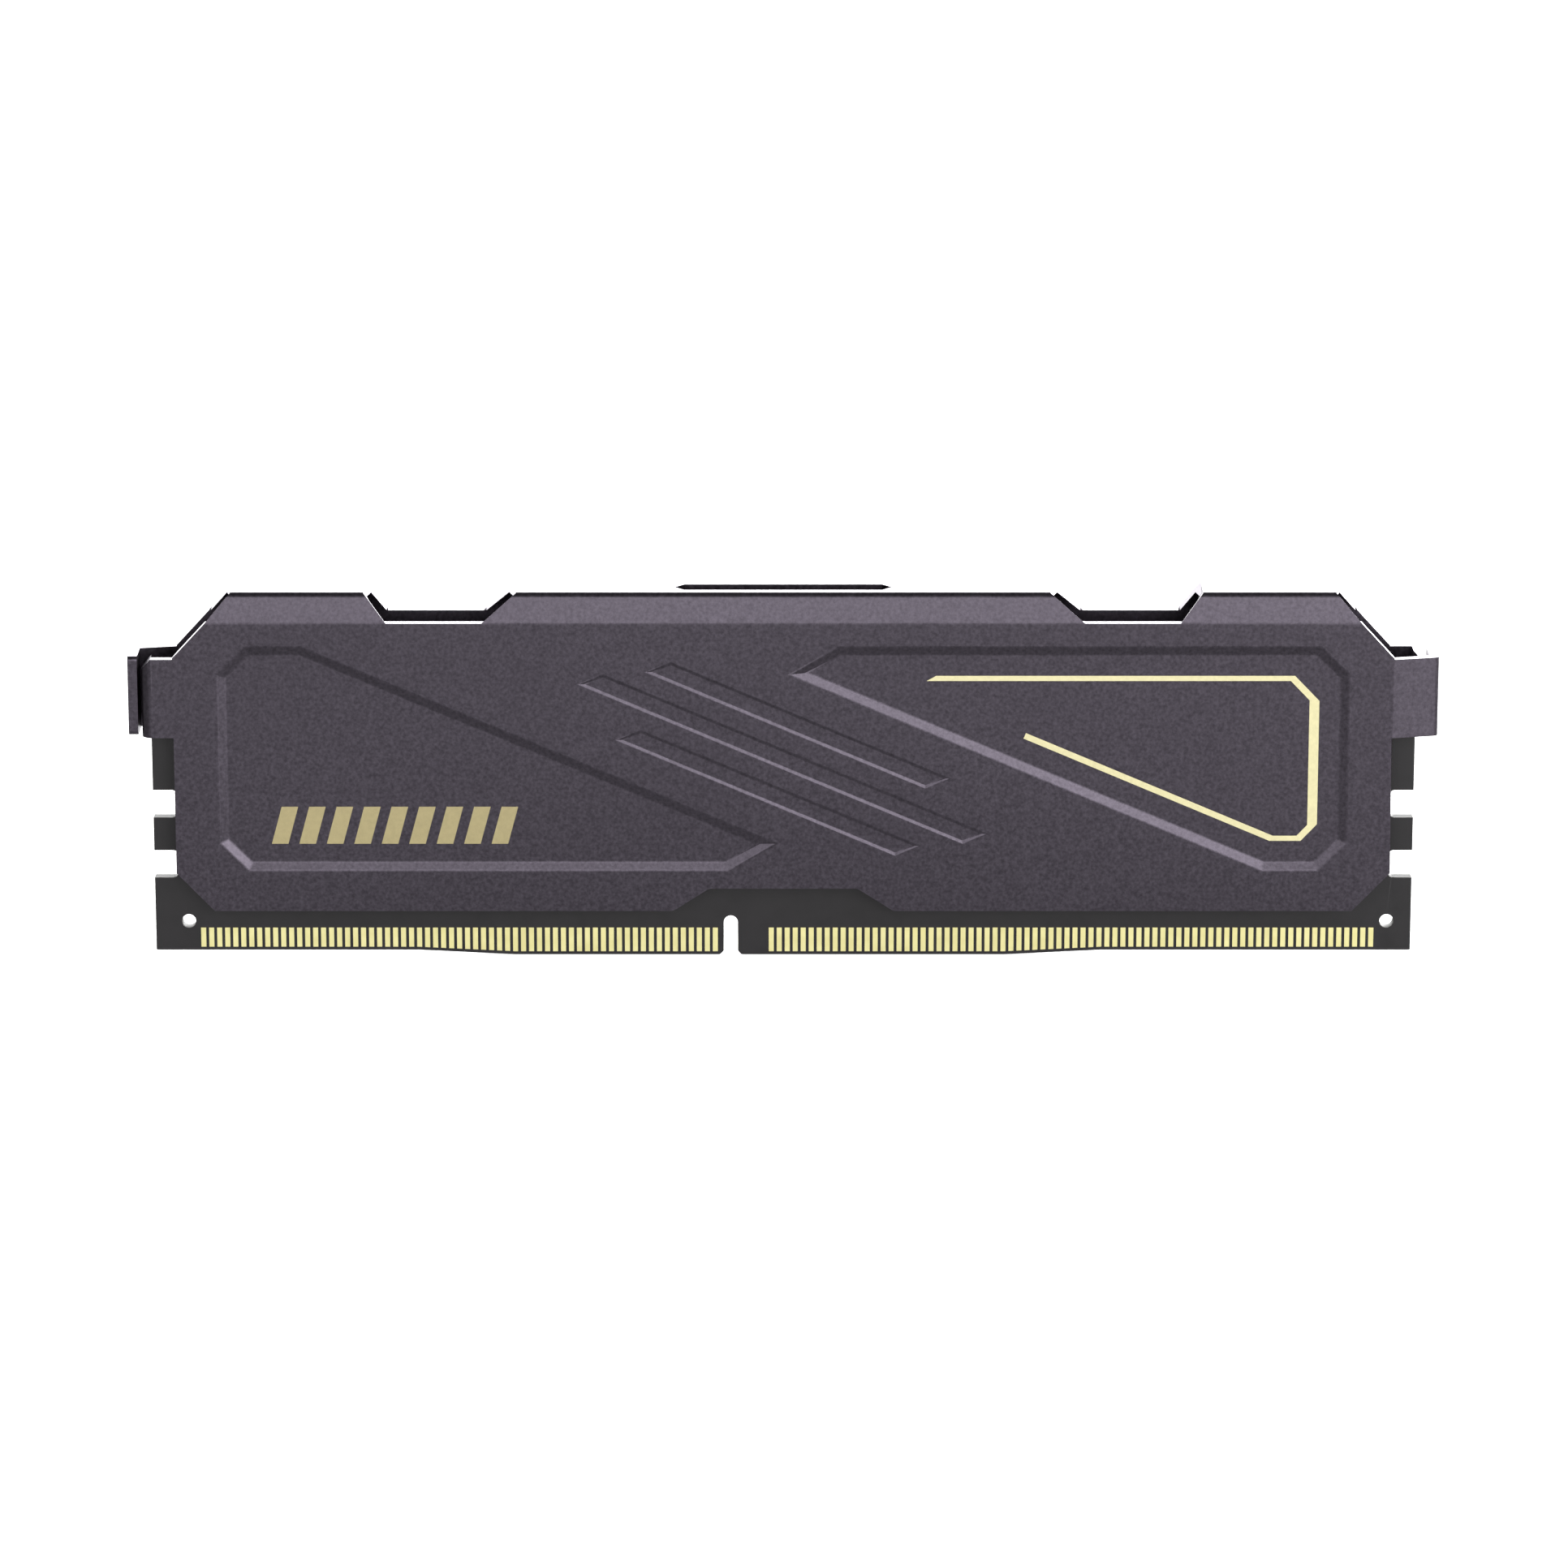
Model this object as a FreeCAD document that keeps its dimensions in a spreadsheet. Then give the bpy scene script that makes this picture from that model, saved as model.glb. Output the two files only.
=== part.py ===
import FreeCAD, Part
import math
import os
import re
import Sketcher

# A desktop memory module with a two-piece sheet heat spreader.
#
# X runs along the card, Y is the outward normal of its rear face, and +Z points from the contact
# edge to the top. The origin is at the middle of the module's length and thickness, level with the
# lowest part of the contact edge. Every length is in millimetres.

# ---------------------------------------------------------------- driving dimensions

DIMENSIONS = {
    # circuit board
    "board_width": 133.35,
    "board_height": 31.25,
    "board_thick": 1.4,
    "end_rise": 0.5,              # the contact edge is this much higher at the ends than in the middle
    "ramp_left_outer": -38.8,
    "ramp_left_inner": -28.5,
    "ramp_right_inner": 23.5,
    "ramp_right_outer": 33.8,
    "key_centre": -5.575,
    "key_width": 1.5,
    "key_top": 4.3,
    "key_flare": 0.4,
    "latch_low": 10.0,
    "latch_high": 16.6,
    "latch_height": 3.0,
    "latch_depth": 2.5,
    "latch_corner": 0.5,
    "tooling_radius": 0.75,
    "tooling_left": -63.15,
    "tooling_right": 64.1,
    "tooling_level": 3.7,
    # edge contacts
    "contact_pitch": 0.85,
    "contact_width": 0.54,
    "contact_thick": 0.05,
    "contact_top": 2.98,
    "contact_setback": 0.36,
    "left_first": -61.625,
    "left_count": 65,
    "right_first": -1.275,
    "right_count": 76,
    # memory chips
    "chip_width": 7.5,
    "chip_height": 11.0,
    "chip_thick": 1.0,
    "chip_base": 0.25,
    "chip_inset": 0.2,
    "chip_first": 12.0,
    "chip_pitch": 14.0,
    "chip_level": 19.5,
    # presence-detect memory
    "spd_width": 2.0,
    "spd_height": 3.0,
    "spd_thick": 0.75,
    # small passive parts
    "decoupler_length": 1.0,
    "decoupler_width": 0.5,
    "decoupler_thick": 0.5,
    "decoupler_pitch": 7.0,
    "decoupler_count": 17,
    "decoupler_level": 27.0,
    "bulk_length": 3.2,
    "bulk_width": 1.6,
    "bulk_thick": 0.9,
    "bulk_pitch": 28.0,
    "bulk_count": 4,
    "bulk_level": 29.3,
    "network_length": 2.0,
    "network_width": 1.0,
    "network_thick": 0.45,
    "network_pitch": 3.0,
    "network_count": 39,
    "network_level": 10.6,
    # thermal pads
    "pad_half_width": 58.2,
    "pad_low": 13.6,
    "pad_high": 25.4,
    # heat spreader sheet
    "module_thick": 7.0,
    "sheet": 1.0,
    "shell_bottom": 5.6,
    "body_half": 64.1,
    "crease_level": 36.9,
    "deck_level": 40.0,
    "deck_half": 2.67,
    "seam_half": 0.08,
    "crease_bend": 1.6,
    "deck_bend": 0.72,
    "shoulder_level": 33.1,
    "shoulder_mid": 60.6,
    "shoulder_top": 57.95,
    "foot_level": 9.75,
    "foot_half": 60.15,
    "gap_level": 8.05,
    "gap_top_half": 7.85,
    "gap_low_half": 11.65,
    "notch_outer_top": 43.98,
    "notch_outer_low": 41.65,
    "notch_inner_low": 31.6,
    "notch_inner_top": 28.0,
    "window_half": 11.4,
    "window_point": 1.0,
    "window_width": 2.5,
    # end tab and hook
    "tab_low": 24.5,
    "tab_high": 33.0,
    "tab_out": 67.45,
    "tab_reach": -1.0,
    "tab_bend": 1.2,
    "tab_corner": 0.65,
    "tab_slant_in": 1.05,
    "tab_slant_down": 1.25,
    "hook_out": 68.9,
    "hook_recede": 1.1,
    "hook_bend": 0.6,
    "hook_corner": 0.5,
    "lip_reach": 2.3,
    # pressed panels: the right one's corners, and the point that the left one is turned about
    "panel_mid_level": 22.2,
    "panel_tip_x": 0.7,
    "panel_tip_rise": 9.2,
    "panel_low_x": 50.6,
    "panel_corner_x": 5.85,
    "panel_rise": 12.15,
    "panel_right": 59.4,
    "panel_cut": 3.0,
    "panel_depth": 0.35,
    "panel_slope": 0.85,
    # three shallow stripes pressed into the raised band between the panels
    "stripe_tilt": 23.2,
    "stripe_gap": 4.0,
    "stripe_long": 44.0,
    "stripe_short": 32.0,
    "stripe_width": 2.0,
    "stripe_slant": 2.0,
    "stripe_depth": 0.12,
    "stripe_slope": 0.26,
    # how far a cutting outline runs past the solid that it cuts
    "beyond": 5.0,
}

CHIPS_PER_SIDE = 8
SAME_PLACE = 0.01       # two points closer than this are one when edges are looked up

doc = FreeCAD.newDocument("memory_module")
dims = doc.addObject("Spreadsheet::Sheet", "dims")
for row, (alias, number) in enumerate(DIMENSIONS.items(), start=1):
    dims.set("A%d" % row, alias)
    dims.set("B%d" % row, str(number))
    dims.setAlias("B%d" % row, alias)
doc.recompute()

sub_parts = []


# ---------------------------------------------------------------- helpers

def cell(expression):
    """Write an expression of bare alias names as one on the sheet's cells."""
    return re.sub(r"\b[a-z][a-z_]+\b(?!\()", lambda word: "dims." + word.group(0), expression)


def new_body(label):
    body = doc.addObject("PartDesign::Body", label)
    body.Label = label
    body.AllowCompound = True
    sub_parts.append(body)
    return body


def new_sketch(body, name, plane, level=None):
    """A sketch on one of the body's origin planes, moved along the plane's normal to a level."""
    sketch = body.newObject("Sketcher::SketchObject", name)
    for feature in body.Origin.OriginFeatures:
        if feature.Role == plane:
            sketch.AttachmentSupport = [(feature, "")]
    sketch.MapMode = "FlatFace"
    if level is not None:
        sketch.setExpression("AttachmentOffset.Base.z", cell(level))
    return sketch


def bind(sketch, constraint, expression):
    index = sketch.addConstraint(constraint)
    sketch.setExpression("Constraints[%d]" % index, cell(expression))


def add_loop(sketch, corners):
    """A closed loop of straight lines. Each corner is a pair of expressions on the sheet."""
    first = sketch.GeometryCount
    count = len(corners)
    spots = []
    for k in range(count):
        turn = 2.0 * math.pi * k / count
        spots.append(FreeCAD.Vector(math.cos(turn), math.sin(turn), 0.0))
    lines = [Part.LineSegment(spots[k], spots[(k + 1) % count]) for k in range(count)]
    sketch.addGeometry(lines, False)
    for k in range(count):
        following = first + (k + 1) % count
        sketch.addConstraint(Sketcher.Constraint("Coincident", first + k, 2, following, 1))
    for k, (across, up) in enumerate(corners):
        spot = spots[k]
        bind(sketch, Sketcher.Constraint("DistanceX", -1, 1, first + k, 1, spot.x), across)
        bind(sketch, Sketcher.Constraint("DistanceY", -1, 1, first + k, 1, spot.y), up)


def add_circle(sketch, across, up, radius):
    index = sketch.GeometryCount
    sketch.addGeometry(Part.Circle(FreeCAD.Vector(1, 1, 0), FreeCAD.Vector(0, 0, 1), 1.0), False)
    bind(sketch, Sketcher.Constraint("DistanceX", -1, 1, index, 3, 1.0), across)
    bind(sketch, Sketcher.Constraint("DistanceY", -1, 1, index, 3, 1.0), up)
    bind(sketch, Sketcher.Constraint("Radius", index, 1.0), radius)


def box_corners(left, low, right, high):
    return [(left, low), (right, low), (right, high), (left, high)]


def volume_before(feature):
    base = feature.BaseFeature
    return base.Shape.Volume if base is not None and not base.Shape.isNull() else 0.0


def extrude(body, sketch, length, reverse=False, both_ways=False, taper=None):
    feature = body.newObject("PartDesign::Pad", "Pad_" + sketch.Label)
    feature.Profile = sketch
    feature.Reversed = reverse
    if both_ways:
        feature.SideType = "Symmetric"
    feature.setExpression("Length", cell(length))
    if taper is not None:
        feature.setExpression("TaperAngle", cell(taper))
    body.Tip = feature
    doc.recompute()
    if feature.Shape.Volume <= volume_before(feature):
        raise RuntimeError(body.Label + ": " + feature.Name + " adds nothing")
    return feature


def cut(body, sketch, depth=None, reverse=False, taper=None, slant=None):
    """A pocket of a given depth, or right through in both directions. A slant is the drop in Z per
    unit of Y that a cut right through follows instead of the sketch's normal."""
    feature = body.newObject("PartDesign::Pocket", "Cut_" + sketch.Label)
    feature.Profile = sketch
    feature.Reversed = reverse
    if depth is None:
        feature.Type = "ThroughAll"
        feature.SideType = "Symmetric"
    else:
        feature.setExpression("Length", cell(depth))
    if taper is not None:
        feature.setExpression("TaperAngle", cell(taper))
    if slant is not None:
        feature.UseCustomVector = True
        feature.Direction = FreeCAD.Vector(0, 1, 0)
        feature.setExpression("Direction.z", cell("-(%s)" % slant))
    body.Tip = feature
    doc.recompute()
    if feature.Shape.Volume >= volume_before(feature):
        raise RuntimeError(body.Label + ": " + feature.Name + " cuts nothing")
    return feature


def edges_near(feature, across=None, back=None, up=None):
    """Names of the edges whose every end lies at the given X, Y and Z, where they are given."""
    wanted = (across, back, up)
    names = []
    for index, edge in enumerate(feature.Shape.Edges, start=1):
        points = [vertex.Point for vertex in edge.Vertexes]
        if all(level is None or abs(point[axis] - level) < SAME_PLACE
               for point in points for axis, level in enumerate(wanted)):
            names.append("Edge%d" % index)
    return names


def is_along_y(feature, name):
    start, end = [vertex.Point for vertex in feature.Shape.getElement(name).Vertexes]
    return abs(start.x - end.x) < SAME_PLACE and abs(start.z - end.z) < SAME_PLACE


def round_edges(body, feature, names, radius):
    if not names:
        raise RuntimeError(body.Label + ": no edge to round after " + feature.Name)
    fillet = body.newObject("PartDesign::Fillet", "Bend_%d" % (len(body.Group) + 1))
    fillet.Base = (feature, names)
    fillet.setExpression("Radius", cell(radius))
    body.Tip = fillet
    doc.recompute()
    return fillet


def repeat_along_x(body, feature, pitch, count):
    pattern = body.newObject("PartDesign::LinearPattern", "Row_" + feature.Label)
    pattern.Originals = [feature]
    for axis in body.Origin.OriginFeatures:
        if axis.Role == "X_Axis":
            pattern.Direction = (axis, [""])
    pattern.Mode = "Spacing"
    pattern.setExpression("Offset", cell(pitch))
    pattern.setExpression("Occurrences", cell(count))
    body.Tip = pattern
    doc.recompute()
    return pattern


def turn_to_rear(body):
    """Half a turn about the vertical axis, which carries the front face to the rear."""
    body.Placement.Rotation = FreeCAD.Rotation(FreeCAD.Vector(0, 0, 1), 180.0)


# ---------------------------------------------------------------- circuit board

def circuit_board():
    body = new_body("circuit_board")
    half = "board_width / 2"

    outline = new_sketch(body, "outline", "XZ_Plane")
    add_loop(outline, [
        ("-" + half, "end_rise"),
        ("ramp_left_outer", "end_rise"),
        ("ramp_left_inner", "0"),
        ("ramp_right_inner", "0"),
        ("ramp_right_outer", "end_rise"),
        (half, "end_rise"),
        (half, "board_height"),
        ("-" + half, "board_height"),
    ])
    extrude(body, outline, "board_thick", both_ways=True)

    key = new_sketch(body, "key", "XZ_Plane")
    left = "key_centre - key_width / 2"
    right = "key_centre + key_width / 2"
    add_loop(key, [
        (left + " - key_flare - beyond", "-beyond"),
        (right + " + key_flare + beyond", "-beyond"),
        (right, "key_flare"),
        (right, "key_top - key_width / 2"),
        (left, "key_top - key_width / 2"),
        (left, "key_flare"),
    ])
    cut(body, key)
    key_end = new_sketch(body, "key_end", "XZ_Plane")
    add_circle(key_end, "key_centre", "key_top - key_width / 2", "key_width / 2")
    cut(body, key_end)

    latches = new_sketch(body, "latches", "XZ_Plane")
    for level in ("latch_low", "latch_high"):
        low = level + " - latch_height / 2"
        high = level + " + latch_height / 2"
        add_loop(latches, box_corners("-%s - beyond" % half, low, "-%s + latch_depth" % half, high))
        add_loop(latches, box_corners(half + " - latch_depth", low, half + " + beyond", high))
    notched = cut(body, latches)
    inner_end = dims.get("board_width") / 2 - dims.get("latch_depth")
    corners = edges_near(notched, across=inner_end) + edges_near(notched, across=-inner_end)
    sharp = [name for name in corners if is_along_y(notched, name)]
    round_edges(body, notched, sharp, "latch_corner")

    tooling = new_sketch(body, "tooling", "XZ_Plane")
    add_circle(tooling, "tooling_left", "tooling_level", "tooling_radius")
    add_circle(tooling, "tooling_right", "tooling_level", "tooling_radius")
    cut(body, tooling)


# ---------------------------------------------------------------- edge contacts

def contact_row(label, first, count, on_front):
    """Plated contacts, each ending a little above the board's edge, which is lower in the middle."""
    body = new_body(label)
    level = "board_thick / 2" if on_front else "-board_thick / 2"
    contact = new_sketch(body, "contact", "XZ_Plane", level)
    left = first + " - contact_width / 2"
    right = first + " + contact_width / 2"
    add_loop(contact, box_corners(left, "0", right, "contact_top"))
    plate = extrude(body, contact, "contact_thick", reverse=not on_front)
    repeat_along_x(body, plate, "contact_pitch", count)

    trim = new_sketch(body, "trim", "XZ_Plane")
    far = "board_width / 2"
    add_loop(trim, [
        ("-" + far, "-beyond"),
        (far, "-beyond"),
        (far, "end_rise + contact_setback"),
        ("ramp_right_outer", "end_rise + contact_setback"),
        ("ramp_right_inner", "contact_setback"),
        ("ramp_left_inner", "contact_setback"),
        ("ramp_left_outer", "end_rise + contact_setback"),
        ("-" + far, "end_rise + contact_setback"),
    ])
    cut(body, trim)


# ---------------------------------------------------------------- chips and passive parts

def memory_chip(label, place, on_front):
    """A ball-grid package: a thin base with a moulded cap set in from its edges."""
    body = new_body(label)
    base = new_sketch(body, "base", "XZ_Plane")
    add_loop(base, box_corners("-chip_width / 2", "-chip_height / 2", "chip_width / 2", "chip_height / 2"))
    extrude(body, base, "chip_base")
    cap = new_sketch(body, "cap", "XZ_Plane", "chip_base")
    across = "chip_width / 2 - chip_inset"
    up = "chip_height / 2 - chip_inset"
    add_loop(cap, box_corners("-(%s)" % across, "-(%s)" % up, across, up))
    extrude(body, cap, "chip_thick - chip_base")
    if not on_front:
        turn_to_rear(body)
    body.setExpression("Placement.Base.x", cell(place))
    body.setExpression("Placement.Base.y", cell("-board_thick / 2" if on_front else "board_thick / 2"))
    body.setExpression("Placement.Base.z", cell("chip_level"))


def chip_place(number):
    """The X of a chip: four each side of the middle, counted from the left."""
    each_side = CHIPS_PER_SIDE // 2
    steps = number - each_side
    if steps < 0:
        return "-chip_first - chip_pitch * %d" % (-steps - 1)
    return "chip_first + chip_pitch * %d" % steps


def presence_detect_memory():
    body = new_body("presence_detect_memory")
    outline = new_sketch(body, "outline", "XZ_Plane")
    add_loop(outline, box_corners("-spd_width / 2", "-spd_height / 2", "spd_width / 2", "spd_height / 2"))
    extrude(body, outline, "spd_thick")
    body.setExpression("Placement.Base.y", cell("-board_thick / 2"))
    body.setExpression("Placement.Base.z", cell("chip_level"))


def passive_row(label, kind, on_front):
    """A row of equal surface-mount parts along the board, centred on its length."""
    body = new_body(label)
    block = new_sketch(body, "block", "XZ_Plane")
    middle = "-%s_pitch * (%s_count - 1) / 2" % (kind, kind)
    left = "%s - %s_length / 2" % (middle, kind)
    right = "%s + %s_length / 2" % (middle, kind)
    add_loop(block, box_corners(left, "-%s_width / 2" % kind, right, "%s_width / 2" % kind))
    part = extrude(body, block, kind + "_thick")
    repeat_along_x(body, part, kind + "_pitch", kind + "_count")
    if not on_front:
        turn_to_rear(body)
    body.setExpression("Placement.Base.y", cell("-board_thick / 2" if on_front else "board_thick / 2"))
    body.setExpression("Placement.Base.z", cell(kind + "_level"))


def thermal_pad(label, on_front):
    """A soft pad that fills the space between the chips and the pressed panels."""
    body = new_body(label)
    outline = new_sketch(body, "outline", "XZ_Plane", "board_thick / 2 + chip_thick")
    add_loop(outline, box_corners("-pad_half_width", "pad_low", "pad_half_width", "pad_high"))
    extrude(body, outline, "module_thick / 2 - sheet - panel_depth - board_thick / 2 - chip_thick")
    if not on_front:
        turn_to_rear(body)


# ---------------------------------------------------------------- heat spreader

def right_panel():
    """Corners of the right-hand pressed panel, from its tip clockwise."""
    mid = "panel_mid_level"
    return [
        ("panel_tip_x", mid + " + panel_tip_rise"),
        ("panel_corner_x", mid + " + panel_rise"),
        ("panel_right - panel_cut", mid + " + panel_rise"),
        ("panel_right", mid + " + panel_rise - panel_cut"),
        ("panel_right", mid + " - panel_rise + panel_cut"),
        ("panel_right - panel_cut", mid + " - panel_rise"),
        ("panel_low_x", mid + " - panel_rise"),
    ]


def left_panel():
    """The right-hand panel turned half a turn in the plane of the face."""
    return [("-(%s)" % across, "2 * panel_mid_level - (%s)" % up) for across, up in right_panel()]


def stripe_corner(along, beside):
    """A point given along and beside the stripes' direction, as X and Z expressions."""
    tilt = "stripe_tilt * 1deg"
    return (
        "(%s) * cos(%s) + (%s) * sin(%s)" % (along, tilt, beside, tilt),
        "panel_mid_level - (%s) * sin(%s) + (%s) * cos(%s)" % (along, tilt, beside, tilt),
    )


def stripe_loop(row, length):
    """A slim outline with slanted ends; row counts the stripes up from the middle one."""
    middle = "stripe_gap * (%d)" % row
    high = middle + " + stripe_width / 2"
    low = middle + " - stripe_width / 2"
    return [
        stripe_corner("-%s / 2 + stripe_slant / 2" % length, high),
        stripe_corner("%s / 2 + stripe_slant / 2" % length, high),
        stripe_corner("%s / 2 - stripe_slant / 2" % length, low),
        stripe_corner("-%s / 2 - stripe_slant / 2" % length, low),
    ]


def bent_sheet(body):
    """The wall, the leaning bevel above it and the narrow deck that meets the other shell."""
    section = new_sketch(body, "section", "YZ_Plane")
    outer = "-module_thick / 2"
    inner = outer + " + sheet"
    lean = "sheet * (module_thick / 2 - deck_half) / (deck_level - crease_level)"
    add_loop(section, [
        (outer, "shell_bottom"),
        (inner, "shell_bottom"),
        (inner, "crease_level"),
        ("-deck_half + sheet - " + lean, "deck_level - sheet"),
        ("-seam_half", "deck_level - sheet"),
        ("-seam_half", "deck_level"),
        ("-deck_half", "deck_level"),
        (outer, "crease_level"),
    ])
    sheet = extrude(body, section, "2 * body_half", both_ways=True)
    face = -dims.get("module_thick") / 2
    crease = edges_near(sheet, back=face, up=dims.get("crease_level"))
    sheet = round_edges(body, sheet, crease, "crease_bend")
    deck = edges_near(sheet, back=-dims.get("deck_half"), up=dims.get("deck_level"))
    round_edges(body, sheet, deck, "deck_bend")


def trim_outline(body):
    """Cut the shoulders, the two top notches, the feet and the gap over the key."""
    trim = new_sketch(body, "trim", "XZ_Plane")
    far = "body_half + beyond"
    over = "deck_level + beyond"
    under = "shell_bottom - beyond"
    for side in ("", "-"):
        def x(expression):
            return "%s(%s)" % (side, expression)
        add_loop(trim, [
            (x(far), "shoulder_level"),
            (x("body_half"), "shoulder_level"),
            (x("shoulder_mid"), "crease_level"),
            (x("shoulder_top"), "deck_level"),
            (x("shoulder_top"), over),
            (x(far), over),
        ])
        add_loop(trim, [
            (x("notch_outer_top"), over),
            (x("notch_outer_top"), "deck_level"),
            (x("notch_outer_low"), "crease_level"),
            (x("notch_inner_low"), "crease_level"),
            (x("notch_inner_top"), "deck_level"),
            (x("notch_inner_top"), over),
        ])
        add_loop(trim, [
            (x(far), "foot_level"),
            (x("body_half"), "foot_level"),
            (x("foot_half"), "shell_bottom"),
            (x("foot_half"), under),
            (x(far), under),
        ])
    add_loop(trim, [
        ("-gap_low_half", under),
        ("-gap_low_half", "shell_bottom"),
        ("-gap_top_half", "gap_level"),
        ("gap_top_half", "gap_level"),
        ("gap_low_half", "shell_bottom"),
        ("gap_low_half", under),
    ])
    cut(body, trim)


def square_bevel_ends(body):
    """Square the bevel's slanted ends to the leaning sheet, as when a flat blank is cut and then bent."""
    lean = "((module_thick / 2 - deck_half) / (deck_level - crease_level))"
    low = "crease_level + sheet * %s" % lean
    high = "deck_level + (module_thick / 2 - deck_half) * %s" % lean
    over = "deck_level + beyond"
    share = "((%s - crease_level) / (%s - crease_level))" % (low, high)
    trim = new_sketch(body, "bevel_ends", "XZ_Plane", "module_thick / 2")
    for side in ("", "-"):
        def x(expression):
            return "%s(%s)" % (side, expression)

        def start(foot, top):
            return x("%s + (%s - %s) * %s" % (foot, top, foot, share))

        add_loop(trim, [
            (x("body_half + beyond"), low),
            (start("shoulder_mid", "shoulder_top"), low),
            (x("shoulder_top"), high),
            (x("shoulder_top"), over),
            (x("body_half + beyond"), over),
        ])
        add_loop(trim, [
            (x("notch_outer_top"), over),
            (x("notch_outer_top"), high),
            (start("notch_outer_low", "notch_outer_top"), low),
            (start("notch_inner_low", "notch_inner_top"), low),
            (x("notch_inner_top"), high),
            (x("notch_inner_top"), over),
        ])
    cut(body, trim, slant=lean)


def half_window(body):
    """This shell's half of the six-sided window in the deck."""
    window = new_sketch(body, "window", "XY_Plane")
    add_loop(window, [
        ("-window_half", "0"),
        ("-window_half + window_point", "-window_width / 2"),
        ("window_half - window_point", "-window_width / 2"),
        ("window_half", "0"),
        ("window_half", "beyond"),
        ("-window_half", "beyond"),
    ])
    cut(body, window)


def end_tab(body):
    """The short tab on the left end, curled back towards the rear shell."""
    tab = new_sketch(body, "tab", "XY_Plane", "tab_low")
    face = "-module_thick / 2"
    add_loop(tab, [
        ("-tab_out", face),
        ("-body_half + sheet", face),
        ("-body_half + sheet", face + " + sheet"),
        ("-tab_out + sheet", face + " + sheet"),
        ("-tab_out + sheet", "tab_reach"),
        ("-tab_out", "tab_reach"),
    ])
    curl = extrude(body, tab, "tab_high - tab_low")
    outer = dims.get("tab_out")
    front = -dims.get("module_thick") / 2
    curl = round_edges(body, curl, edges_near(curl, across=-outer, back=front), "tab_bend")
    free = edges_near(curl, back=dims.get("tab_reach"), up=dims.get("tab_low"))
    round_edges(body, curl, free, "tab_corner")

    slanted = new_sketch(body, "tab_slant", "XZ_Plane")
    far = "-tab_out - beyond"
    add_loop(slanted, [
        ("-tab_out + tab_slant_in", "tab_high"),
        ("-tab_out", "tab_high - tab_slant_down"),
        (far, "tab_high - tab_slant_down"),
        (far, "tab_high + beyond"),
        ("-tab_out + tab_slant_in", "tab_high + beyond"),
    ])
    cut(body, slanted)


def end_hook(body):
    """The hook on the right end: it draws in as it runs out, then its lip wraps the rear tab."""
    hook = new_sketch(body, "hook", "XY_Plane", "tab_low")
    face = "-module_thick / 2"
    drop = "hook_recede * (hook_out - sheet - body_half) / (hook_out - body_half)"
    add_loop(hook, [
        ("body_half - sheet", face),
        ("body_half", face),
        ("hook_out", face + " + hook_recede"),
        ("hook_out", "lip_reach"),
        ("hook_out - sheet", "lip_reach"),
        ("hook_out - sheet", face + " + sheet + " + drop),
        ("body_half", face + " + sheet"),
        ("body_half - sheet", face + " + sheet"),
    ])
    arm = extrude(body, hook, "tab_high - tab_low")
    bend_back = -dims.get("module_thick") / 2 + dims.get("hook_recede")
    arm = round_edges(body, arm, edges_near(arm, across=dims.get("hook_out"), back=bend_back), "hook_bend")
    free = []
    for level in ("tab_low", "tab_high"):
        free += edges_near(arm, back=dims.get("lip_reach"), up=dims.get(level))
    round_edges(body, arm, free, "hook_corner")


def pressed_panels(body):
    """Two panels pressed into the wall: each stands proud inside and is sunk outside."""
    narrowing = "-atan(panel_slope / panel_depth)"
    for name, corners in (("left", left_panel()), ("right", right_panel())):
        inside = new_sketch(body, name + "_boss", "XZ_Plane", "module_thick / 2 - sheet")
        add_loop(inside, corners)
        extrude(body, inside, "panel_depth", reverse=True, taper=narrowing)
    for name, corners in (("left", left_panel()), ("right", right_panel())):
        outside = new_sketch(body, name + "_sink", "XZ_Plane", "module_thick / 2")
        add_loop(outside, corners)
        cut(body, outside, "panel_depth", taper=narrowing)


def sunk_stripes(body):
    """Three slim stripes sunk shallowly along the raised band, with sloping sides."""
    stripes = new_sketch(body, "stripes", "XZ_Plane", "module_thick / 2")
    for row, length in ((-1, "stripe_short"), (0, "stripe_long"), (1, "stripe_short")):
        add_loop(stripes, stripe_loop(row, length))
    cut(body, stripes, "stripe_depth", taper="-atan(stripe_slope / stripe_depth)")


def heat_spreader(label, on_front):
    """Both shells are the same pressing; the rear one is turned half a turn."""
    body = new_body(label)
    bent_sheet(body)
    trim_outline(body)
    square_bevel_ends(body)
    half_window(body)
    end_tab(body)
    end_hook(body)
    pressed_panels(body)
    sunk_stripes(body)
    if not on_front:
        turn_to_rear(body)


# ---------------------------------------------------------------- the assembly

circuit_board()
presence_detect_memory()
for side, on_front in (("front", True), ("rear", False)):
    contact_row("contacts_left_" + side, "left_first", "left_count", on_front)
    contact_row("contacts_right_" + side, "right_first", "right_count", on_front)
    for number in range(CHIPS_PER_SIDE):
        memory_chip("memory_chip_%s_%d" % (side, number + 1), chip_place(number), on_front)
    passive_row("decoupling_capacitors_" + side, "decoupler", on_front)
    passive_row("bulk_capacitors_" + side, "bulk", on_front)
    passive_row("resistor_networks_" + side, "network", on_front)
    thermal_pad("thermal_pad_" + side, on_front)
    heat_spreader("heat_spreader_" + side, on_front)
doc.recompute()

for thing in doc.Objects:
    if "Invalid" in thing.State or "Error" in thing.State:
        raise RuntimeError(thing.Name + " did not recompute")
for body in sub_parts:
    if body.Shape.isNull() or not body.Shape.isValid():
        raise RuntimeError(body.Label + " has no valid shape")

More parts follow.
